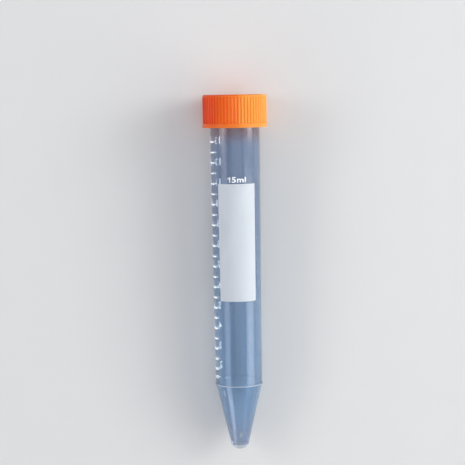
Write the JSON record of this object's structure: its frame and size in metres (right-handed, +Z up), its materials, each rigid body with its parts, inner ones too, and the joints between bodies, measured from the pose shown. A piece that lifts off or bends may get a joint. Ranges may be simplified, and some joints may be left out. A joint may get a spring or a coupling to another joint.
{
  "type": "15 ml conical tube",
  "caption": "Clear plastic lab tube with a conical end, a printed writing panel and volume marks, closed by a ribbed orange screw cap.",
  "frame": {"origin": "On the bench under the middle of the part's box, with the part lying on its cap's flange and the bead at its shoulder.", "axes": "+Z up, +Y from the tip to the cap, +X across. The tube's axis rises towards the cap by the angle that its two resting rings give. The writing panel faces +Z."},
  "size_m": [0.0216, 0.1202, 0.0218],
  "materials": {
    "tube_plastic": "clear moulded plastic, smooth and slightly hazy",
    "panel_ink": "matte white printed field to write on",
    "cap_plastic": "satin orange moulded plastic"
  },
  "bodies": {
    "tube": {"tube": "tube_plastic", "writing_panel": "panel_ink"},
    "cap": {"cap": "cap_plastic"}
  },
  "joints": [
    {"name": "cap_lift", "type": "slide", "parent": "tube", "child": "cap", "axis": [0, 0.9995, 0.0324], "range_m": [0, 0.025]}
  ]
}
